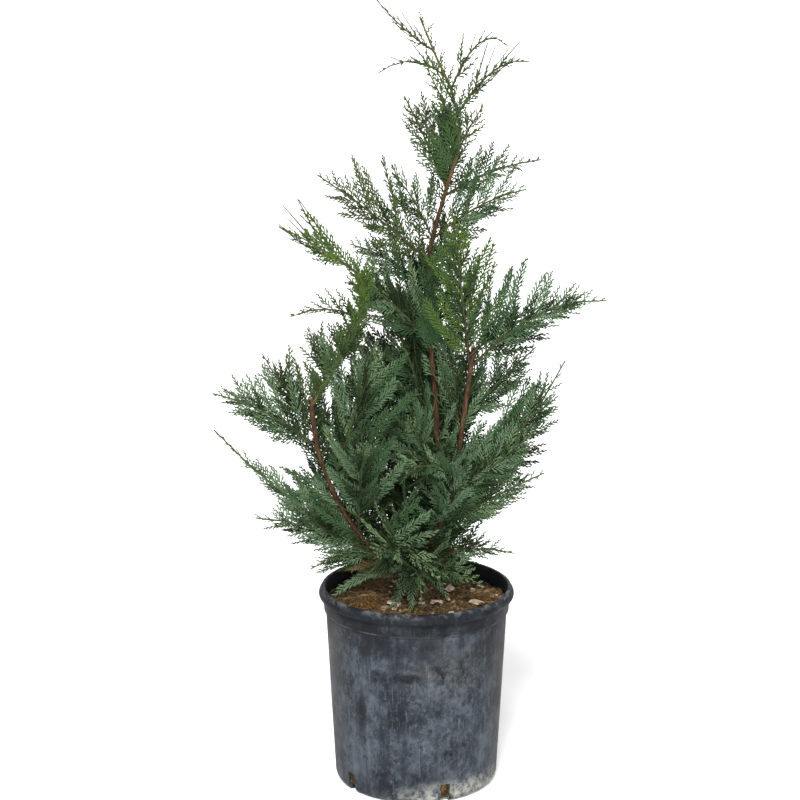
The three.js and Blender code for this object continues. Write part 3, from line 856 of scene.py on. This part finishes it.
def make_chips():
    """Wood chips on the soil, each a box with its corners knocked about."""
    away = CHIP_RADIUS * np.sqrt(draw(0.06, 1, CHIP_COUNT))
    turn = draw(0, TURN, CHIP_COUNT)
    sizes = draw(*CHIP_SIZES, CHIP_COUNT)
    kinds = rng.integers(0, CHIP_KINDS, CHIP_COUNT)
    chips = [(*chip, 0) for chip in BIG_CHIPS]
    chips += zip(away * np.cos(turn), away * np.sin(turn), sizes, kinds)
    made = [[] for _ in range(CHIP_KINDS)]
    for x, y, size, kind in chips:
        shape = BOX * size * (1, draw(0.55, 0.85), draw(0.25, 0.45))
        shape = shape * draw(0.45, 1.1, BOX.shape)
        shape = turned(shape, draw(-0.5, 0.5), 1, 2)
        shape = turned(shape, draw(0, TURN), 0, 1)
        level = soil_height(np.array([x]), np.array([y]))[0] + 0.12 * size
        made[kind].append((shape + (x, y, level), BOX_SIDES))
    for kind, shapes in enumerate(made, 1):
        add_piece(f"chips_{kind}", join(shapes), wood_finish(f"chip_{kind}"), "soil", smooth=False)


def make_fibres():
    """Fibres on the soil: some loose, and the rest on the clumps."""
    count = FIBRE_COUNT
    loose = draw(0, 1, count) < LOOSE_FIBRES
    middle = np.array(CLUMPS)[rng.integers(0, len(CLUMPS), count)]
    wide = FIBRE_RADIUS * np.sqrt(draw(0.04, 1, count))
    away = np.where(loose, wide, middle[:, 2] * draw(0, 1.1, count))
    turn = draw(0, TURN, count)
    x = away * np.cos(turn) + np.where(loose, 0, middle[:, 0])
    y = away * np.sin(turn) + np.where(loose, 0, middle[:, 1])
    size = draw(*FIBRE_SIZES, count)
    spin = draw(0, TURN, count)
    run = vectors(np.cos(spin), np.sin(spin), draw(-0.1, 0.3, count)) * size[:, None]
    bend = vectors(-np.sin(spin), np.cos(spin), draw(-0.8, 0, count))
    bend *= (size * draw(-0.4, 0.4, count))[:, None]
    bend[:, 2] = -FIBRE_SAG * size
    root = vectors(x, y, soil_height(x, y) + 0.001)
    face = np.tile((0.0, 0.0, 1.0), (count, 1))
    fibres = Twigs(root, run, bend, face, np.zeros(count), np.zeros(count))
    add_piece("fibres", stalk_faces(fibres, FIBRE_STATIONS), wood_finish("fibre"), "soil")


# Limbs


def limb_points(limb, share):
    """Points of a Catmull-Rom curve through a limb's path, by its parameter from 0 to 1."""
    path = metres(LIMBS[limb][3])
    points = np.vstack([2 * path[0] - path[1], path, 2 * path[-1] - path[-2]])
    at = np.asarray(share) * (len(path) - 1)
    span = np.minimum(at.astype(int), len(path) - 2)
    t = (at - span)[..., None]
    a, b, c, d = (points[span + k] for k in range(4))
    return b + 0.5 * t * (c - a + t * (2 * a - 5 * b + 4 * c - d + t * (3 * (b - c) + d - a)))


def limb_share(limb, height):
    shares = np.linspace(0, 1, 2001)
    return np.interp(height, limb_points(limb, shares)[:, 2], shares)


def limb_radius(limb, share):
    foot, tip, flare = metres(LIMBS[limb][:3])
    return lerp((foot, tip), share) + flare * np.exp(-share * FLARE_DECAY)


def frames_along(points):
    """Two vectors across a line of points, which turn as little as they can."""
    tangents = unit(np.gradient(points, axis=0))
    across = [unit(np.cross(tangents[0], (0.0, 1.0, 0.0)))]
    for tangent in tangents[1:]:
        last = across[-1]
        across.append(unit(last - tangent * (last @ tangent)))
    across = np.array(across)
    return across, np.cross(tangents, across)


def bark_limb(limb):
    """A limb with shallow ridges that wander along it."""
    shares = np.linspace(0, 1, 400)
    length = np.linalg.norm(np.diff(limb_points(limb, shares), axis=0), axis=1).sum()
    shares = np.linspace(0, 1, int(length / BARK_STEP) + 2)
    points = limb_points(limb, shares)
    across, over = frames_along(points)
    turn = np.linspace(0, TURN, BARK_SIDES, endpoint=False)
    ring = vectors(np.cos(turn), np.sin(turn))
    spots = np.empty((len(shares), BARK_SIDES, 3))
    spots[..., :2] = ring * RIDGES_ROUND
    spots[..., 2] = (shares * length)[:, None] * RIDGES_ALONG
    relief = rough(spots.reshape(-1, 3), BARK_RIDGES, len(limb))
    grown = limb_radius(limb, shares)[:, None] * (1 + relief.reshape(-1, BARK_SIDES))
    rims = across[:, None] * ring[None, :, :1] + over[:, None] * ring[None, :, 1:]
    places = points[:, None] + grown[..., None] * rims
    return places.reshape(-1, 3), grid_faces(len(shares), BARK_SIDES)


def cut_end(limb):
    """The pale slanting cut on a pruned limb."""
    points = limb_points(limb, np.array([CUT_START, 1.0]))
    across, over = frames_along(points)
    forward = unit(points[1] - points[0])
    turn = np.linspace(0, TURN, BARK_SIDES, endpoint=False)[:, None]
    rim = (across[1] * np.cos(turn) + over[1] * np.sin(turn)) * limb_radius(limb, 1.0) * CUT_WIDTH
    slant = CUT_SLANT * np.cos(turn + CUT_TURN)
    rows = [points[1] + rim * size + forward * (lift + slant * size) for size, lift in CUT_RINGS]
    return np.concatenate(rows), grid_faces(len(rows), BARK_SIDES)


def make_limbs():
    brown = bark_finish("bark_brown", YOUNG_BARK)
    green = bark_finish("bark_green")
    for limb in LIMBS:
        look = (green, "green_bark") if limb == "left_shoot" else (brown, "bark")
        add_piece(limb + "_bark", bark_limb(limb), *look, [limb])
    cuts = join([cut_end("left_stem"), cut_end("right_stem")])
    add_piece("pruned_ends", cuts, wood_finish("cut_wood"), "bark")


# Growth


class Mass(NamedTuple):
    """A mass of foliage, in millimetres and degrees."""

    limb: str
    name: str
    at: float
    turn: float
    rise: float
    reach: float
    bow: float
    spread: float
    group: str = "blue"
    rear: bool = False


class Twigs(NamedTuple):
    """Bent twigs. At share u, a twig is at root + run u + bend u^2. Its face looks out of its flat."""

    root: np.ndarray
    run: np.ndarray
    bend: np.ndarray
    face: np.ndarray
    group: np.ndarray
    shade: np.ndarray

    def point(self, share, which=slice(None)):
        u = np.reshape(share, (-1, 1))
        return self.root[which] + self.run[which] * u + self.bend[which] * u * u

    def heading(self, share, which=slice(None)):
        u = np.reshape(share, (-1, 1))
        return unit(self.run[which] + 2 * u * self.bend[which])

    def length(self):
        return np.linalg.norm(self.run + self.bend, axis=1)

    def pick(self, which):
        return Twigs(*(part[which] for part in self))


def gather(sets):
    return Twigs(*(np.concatenate(parts) for parts in zip(*sets)))


def places_along(lengths, step, least, first, span):
    """Places along twigs: which twig, the share of its length, and the side, left or right in turn."""
    counts = np.maximum(least, np.round(lengths / step)).astype(int)
    which = np.repeat(np.arange(len(counts)), counts)
    order = np.arange(len(which)) - np.repeat(np.cumsum(counts) - counts, counts)
    share = first + span * ((order + draw(0.3, 0.7, len(order))) / counts[which])
    return which, share, np.where(order % 2, -1.0, 1.0)


def branch(parent, which, share, side, angle, length, roll, bends):
    """Side twigs that leave their parent at an angle, in a rolled flat, and bend forward and out of it."""
    tangent = parent.heading(share, which)
    face = parent.face[which]
    face = unit(face - tangent * np.sum(face * tangent, axis=1, keepdims=True))
    across = np.cross(tangent, face)
    c, s = np.cos(roll)[:, None], np.sin(roll)[:, None]
    face, across = face * c + across * s, across * c - face * s
    out = across * side[:, None]
    c, s = np.cos(angle)[:, None], np.sin(angle)[:, None]
    ahead = tangent * c + out * s
    inward = tangent * s - out * c
    forward, arch = (draw(*ends, len(which))[:, None] for ends in bends)
    size = length[:, None]
    bend = (inward * forward + face * arch) * size
    root = parent.point(share, which)
    return Twigs(root, ahead * size, bend, face, parent.group[which], parent.shade[which])


def all_masses():
    """Front and side masses, then those of the back."""
    masses = [Mass(limb, *row) for limb, rows in MASSES.items() for row in rows]
    for i in range(REAR_COUNT):
        share = i / (REAR_COUNT - 1)
        at = lerp(REAR_HEIGHTS, share)
        limb = "rear_stem" if at < REAR_STEM_TOP else "trunk"
        turn = 90 + REAR_FAN * (2 * ((i * GOLDEN + REAR_START) % 1) - 1)
        size = (lerp(REAR_RISE, share), lerp(REAR_REACH, share), REAR_BOW, REAR_SPREAD)
        group = REAR_TINTS[i % len(REAR_TINTS)]
        masses.append(Mass(limb, f"rear_{i + 1:02d}", at, turn, *size, group, True))
    return masses


def mass_boughs(masses):
    """The middle line of each mass, from its limb to its tip."""
    root = np.array([limb_points(m.limb, limb_share(m.limb, metres(m.at))) for m in masses])
    heading = headings(np.radians([m.turn for m in masses]), np.radians([m.rise for m in masses]))
    bow = metres([(0, 0, 4 * m.bow) for m in masses])
    run = heading * metres([m.reach for m in masses])[:, None] + bow
    face = unit(np.array([(0, 1 if m.rear else -1, FACE_UP) for m in masses]))
    group = np.array([GROUPS.index(m.group) for m in masses])
    shade = np.array([1.0 - DEEPER.get(m.name, 0) for m in masses])
    return Twigs(root, run, -bow, face, group, shade)


def envelope(share, taper, first, growth):
    return (1 - taper * share) * np.minimum(1, first + growth * share)


def outer_shade(shade, outward):
    return np.clip(np.round(shade + outward), 0, SHADES - 1)


def lesser_boughs(boughs, spread):
    """Lesser boughs that leave a mass's flat, so that it has depth."""
    lengths = boughs.length() * spread
    crowded = 1 - OPEN_SHARE * ease(boughs.root[:, 2], *OPEN_HEIGHTS)
    which, share, side = places_along(lengths * crowded, *LESSER_ROW)
    count = len(which)
    length = lengths[which] * envelope(share, *SPRAY_ENVELOPE) * draw(0.7, 1.05, count)
    behind = side * np.where(draw(0, 1, count) < 0.82, 1, -1)
    roll = angles(*LESSER_ROLLS, count) * behind
    angle = angles(*LESSER_ANGLES, count)
    made = branch(boughs, which, share, side, angle, length, roll, LESSER_BENDS)
    # Lesser boughs, mostly behind the flat, take darker tints: painted shade.
    outward = 0.9 * share + rng.normal(0, 0.4, count) - 1.3
    return made._replace(shade=outer_shade(made.shade, outward))


def limb_sprays(limb, heights, step, reach, rise, group, shade, fan=(0, 360), sag=-0.15):
    """Short sprays round a limb, within a fan of degrees from +X. They sag or turn up."""
    at = np.arange(*metres((*heights, step)))
    count = len(at)
    turn = np.radians(lerp(fan, GOLDEN * np.arange(count) % 1) + draw(-20, 20, count))
    rises = np.radians(rise + draw(-15, 15, count))
    size = lerp(metres(reach), np.linspace(0, 1, count)) * draw(0.7, 1.15, count)
    run = headings(turn, rises) * size[:, None]
    face = unit(vectors(0.3 * np.cos(turn), np.full(count, -0.8), np.full(count, 0.7)))
    bend = np.zeros((count, 3))
    bend[:, 2] = -sag * size
    groups = np.full(count, GROUPS.index(group))
    root = limb_points(limb, limb_share(limb, at))
    return Twigs(root, run, bend, face, groups, np.full(count, float(shade)))


def grow_sprays(boughs, spread, wisp, close):
    """The side sprays of each bough, by the source's rule and closer together, and how bare each one ends."""
    lengths = boughs.length()
    which, share, side = places_along(lengths, *SPRAY_ROW)
    count = len(which)
    wisp = wisp[which]
    fade = 1 - lerp((0.6, 0.4), wisp) * ease(share, 0.55, 0.95)
    vigour = draw(0.6, 1.25, count) * (1 + WISP_LENGTH * wisp)
    length = lengths[which] * spread[which] * envelope(share, *SPRAY_ENVELOPE) * fade * vigour
    length = np.maximum(length, SHORTEST_SPRAY)
    angle = lerp((SPRAY_ANGLE, WISP_ANGLE), np.maximum(wisp, close[which]))
    angle += draw(*ANGLE_JITTER, count) - SPRAY_ANGLE_DROP * share
    roll = np.radians(ROLL_JITTER) * (draw(0, 1, count) - 0.5)
    sprays = branch(boughs, which, share, side, np.radians(angle), length, roll, SPRAY_BENDS)
    # A spray that rises grows longer than one that hangs
    favour = np.clip(0.86 + 0.36 * unit(sprays.run)[:, 2], 0.5, 1.2)[:, None]
    sprays.run[:] *= favour
    sprays.bend[:] *= favour
    sprays.bend[:, 2] += LIFT * sprays.length()
    # Sprays take lighter tints further out along the bough and darker ones near its root: painted light and
    # shade.
    outward = 0.35 + 1.4 * share + rng.normal(0, 0.65, count)
    sprays = sprays._replace(shade=outer_shade(sprays.shade, outward))
    return sprays, wisp * ease(share, 0.0, 0.35)


def grow_twigs(parents, size, whip=0.0):
    """Twigs in the flat of each spray or bough, up to a share of its length. They dwindle along a whip."""
    lengths = parents.length()
    whip = np.broadcast_to(whip, lengths.shape)
    which, share, side = places_along(lengths, *TWIG_ROW)
    bare = whip[which] * ease(share, 0.1, 0.5)
    kept = draw(0, 1, len(which)) > 0.75 * bare
    which, share, side, bare = which[kept], share[kept], side[kept], bare[kept]
    count = len(which)
    slim = whip[which]
    length = lengths[which] * size * envelope(share, *TWIG_ENVELOPE) * (1 - 0.35 * slim) * (1 - 0.8 * bare)
    length = np.clip(length, SHORTEST_TWIG * (1 - 0.6 * bare), LONGEST_TWIG) * draw(0.75, 1.2, count)
    angle = TWIG_ANGLE - TWIG_ANGLE_DROP * share - WISP_TWIG_DROP * slim + draw(*ANGLE_JITTER, count)
    roll = angles(*TWIG_ROLLS, count)
    return branch(parents, which, share, side, np.radians(angle), length, roll, TWIG_BENDS)


def grow_forks(twigs):
    """One side twig on each long twig."""
    lengths = twigs.length()
    which = np.flatnonzero(lengths > FORKED_TWIG)
    count = len(which)
    side = np.where(draw(0, 1, count) < 0.5, -1.0, 1.0)
    angle = angles(*FORK_ANGLES, count)
    roll = angles(*FORK_ROLLS, count)
    share = draw(0.25, 0.5, count)
    length = lengths[which] * draw(0.35, 0.55, count)
    return branch(twigs, which, share, side, angle, length, roll, TWIG_BENDS)


def grow_leaves(twigs):
    """Scale leaves that stand off each twig, to both sides in turn."""
    which, share, side = places_along(twigs.length(), *LEAF_ROW)
    count = len(which)
    length = draw(*LEAF_LENGTHS, count)
    angle = angles(*LEAF_ANGLES, count)
    roll = angles(*LEAF_ROLLS, count)
    return branch(twigs, which, share, side, angle, length, roll, LEAF_BENDS)


def before_limbs(twigs):
    """True for twigs that hang before a clear stretch of limb, seen along the camera's slope."""
    middle = twigs.point(0.5)
    hidden = np.zeros(len(middle), dtype=bool)
    for limb, low, high in CLEAR_STRETCHES:
        line = limb_points(limb, np.linspace(0, 1, 200))
        ahead = np.interp(middle[:, 2], line[:, 2], line[:, 1]) - middle[:, 1]
        level = middle[:, 2] - ahead * math.tan(CAMERA_TIP)
        aside = np.abs(middle[:, 0] - np.interp(level, line[:, 2], line[:, 0]))
        hidden |= (ahead > 0) & (aside < CLEAR_WIDTH) & (level > low) & (level < high)
    return hidden


# Foliage


def leaf_faces(leaves):
    """Two faces a leaf, folded down from its middle."""
    every = np.arange(len(leaves.root))
    middle = leaves.point(0.45)
    across = unit(np.cross(leaves.run, leaves.face)) * LEAF_WIDTH / 2
    drop = leaves.face * LEAF_WIDTH * 0.3
    places = np.stack([leaves.root, middle + across - drop, leaves.point(1), middle - across - drop], axis=1)
    faces = 4 * every[:, None, None] + np.array([[0, 1, 2], [0, 2, 3]])
    return places.reshape(-1, 3), faces.reshape(-1, 3)


def stalk_faces(twigs, stations):
    """Three-sided stalks, wider than thick. Stations give share, half width and half thickness."""
    rings = []
    for share, wide, thick in stations:
        centre = twigs.point(share)
        across = unit(np.cross(twigs.heading(share), twigs.face)) * np.reshape(wide, (-1, 1))
        over = twigs.face * np.reshape(thick, (-1, 1))
        rings += [centre + across - over * 0.5, centre - across - over * 0.5, centre + over]
    places = np.stack(rings, axis=1)
    faces = []
    for k in range(len(stations) - 1):
        pointed = np.all(stations[k + 1][1] == 0)
        for j in range(3):
            a, b = 3 * k + j, 3 * k + (j + 1) % 3
            faces += [(a, b, b + 3)] if pointed else [(a, b, b + 3), (a, b + 3, a + 3)]
    faces = len(rings) * np.arange(len(places))[:, None, None] + np.array(faces)
    return places.reshape(-1, 3), faces.reshape(-1, 3)


def add_leaves(masses, twigs, leaves):
    """Twigs and leaves by tint. The first piece of a group takes the place of the group's masses."""
    half = TWIG_WIDTH / 2
    stations = [(0, half, half * 0.6), (0.6, half * 0.9, half * 0.5), (1, 0, 0)]
    for number, group in enumerate(GROUPS):
        nodes = ["foliage_" + m.name for m in masses if m.group == group]
        slot = "bark" if group == "dead" else f"foliage_{group}"
        for shade in range(SHADES):
            stalks = twigs.pick((twigs.group == number) & (twigs.shade == shade))
            if len(stalks.root) == 0:
                continue
            chosen = np.flatnonzero((leaves.group == number) & (leaves.shade == shade))
            blades = leaves.pick(chosen[::1 if shade else SHADED_LEAF_STRIDE])
            shape = join([stalk_faces(stalks, stations), leaf_faces(blades)])
            # The tints of a group make lit and shaded copies of one leaf material: painted light and shade.
            material = leaf_finish(f"leaf_{group}_{shade + 1}", TINTS[group][shade])
            add_split(f"leaves_{group}_{shade + 1}", shape, material, slot, nodes)
            nodes = ()


def add_stalks(name, stalks, limits, shares, flatness, material, slot):
    """The bare stalks of sprays or boughs, by shares of their half width."""
    thick = np.clip(STALK_GROWTH * stalks.length() + STALK_BASE, *limits)
    shape = stalk_faces(stalks, [(s, thick * w, thick * w * flatness) for s, w in shares])
    add_split(name, shape, material, slot)


def make_foliage():
    masses = all_masses()
    spread = np.array([m.spread for m in masses])
    wisp = np.array([float(m.name in WISPY) for m in masses])
    close = np.array([CLOSE.get(m.name, 0) for m in masses])
    boughs = mass_boughs(masses)
    lesser = lesser_boughs(boughs, spread)
    inner = gather([limb_sprays(*row) for row in LIMB_SPRAYS])
    sprays, whip = grow_sprays(boughs, spread, wisp, close)
    twigs = gather([
        grow_twigs(boughs, BOUGH_TWIGS, lerp((0.6, 1), wisp)),
        grow_twigs(lesser, LESSER_TWIGS),
        grow_twigs(inner, LESSER_TWIGS),
        grow_twigs(sprays, SPRAY_TWIGS, whip),
    ])
    twigs = gather([twigs, grow_forks(twigs)])
    twigs = twigs.pick(~before_limbs(twigs))
    add_leaves(masses, twigs, grow_leaves(twigs))

    shoots = gather([sprays, lesser, inner])
    green = bark_finish("twig_green")
    brown = bark_finish("twig_brown")
    add_stalks("twigs_green", shoots, SHOOT_LIMITS, SHOOT_STATIONS, SHOOT_FLATNESS, green, "green_bark")
    add_stalks("boughs_brown", boughs, BOUGH_LIMITS, BROWN_STATIONS, 1, brown, "bark")
    add_stalks("boughs_green", boughs, BOUGH_LIMITS, GREEN_STATIONS, 1, green, "green_bark")


make_camera()
make_studio()
make_pot()
make_soil()
make_chips()
make_fibres()
make_limbs()
make_foliage()
